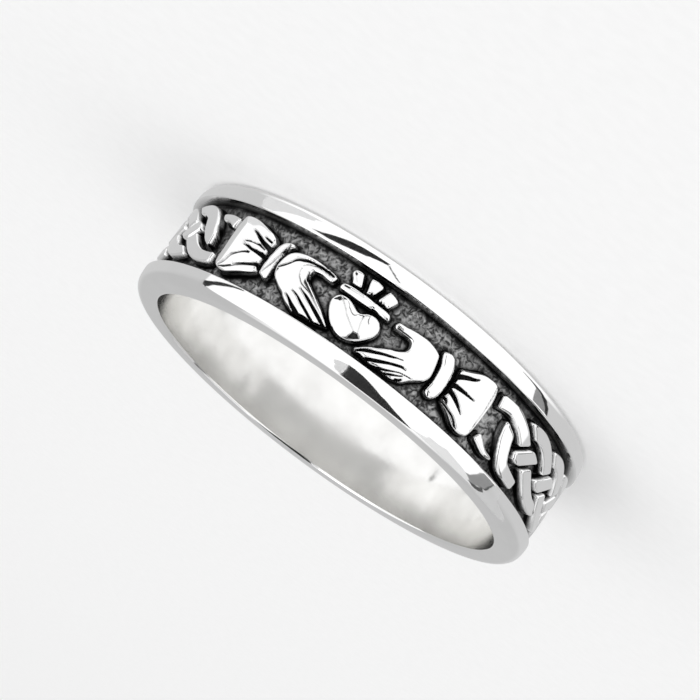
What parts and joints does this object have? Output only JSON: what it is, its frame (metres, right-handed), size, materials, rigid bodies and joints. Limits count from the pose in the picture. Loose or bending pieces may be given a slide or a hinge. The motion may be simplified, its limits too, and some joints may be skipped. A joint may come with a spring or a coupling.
{
  "type": "claddagh ring",
  "caption": "Silver finger ring with polished rails beside a sunk, darkened channel, where hands hold a crowned heart between pleated sleeves and a plait runs round the back.",
  "frame": {"origin": "middle of the lower side face, on the surface that the ring lies on", "axes": "+Z along the finger bore, up from the surface; -Y from the bore's axis towards the heart; the heart's point is towards +Z and the crown towards -Z"},
  "size_m": [0.0198, 0.0198, 0.0051],
  "materials": {
    "sterling_silver": "polished rails and relief, satin bore, blackened channel"
  },
  "bodies": {
    "root": {"ring": "sterling_silver"}
  },
  "joints": []
}
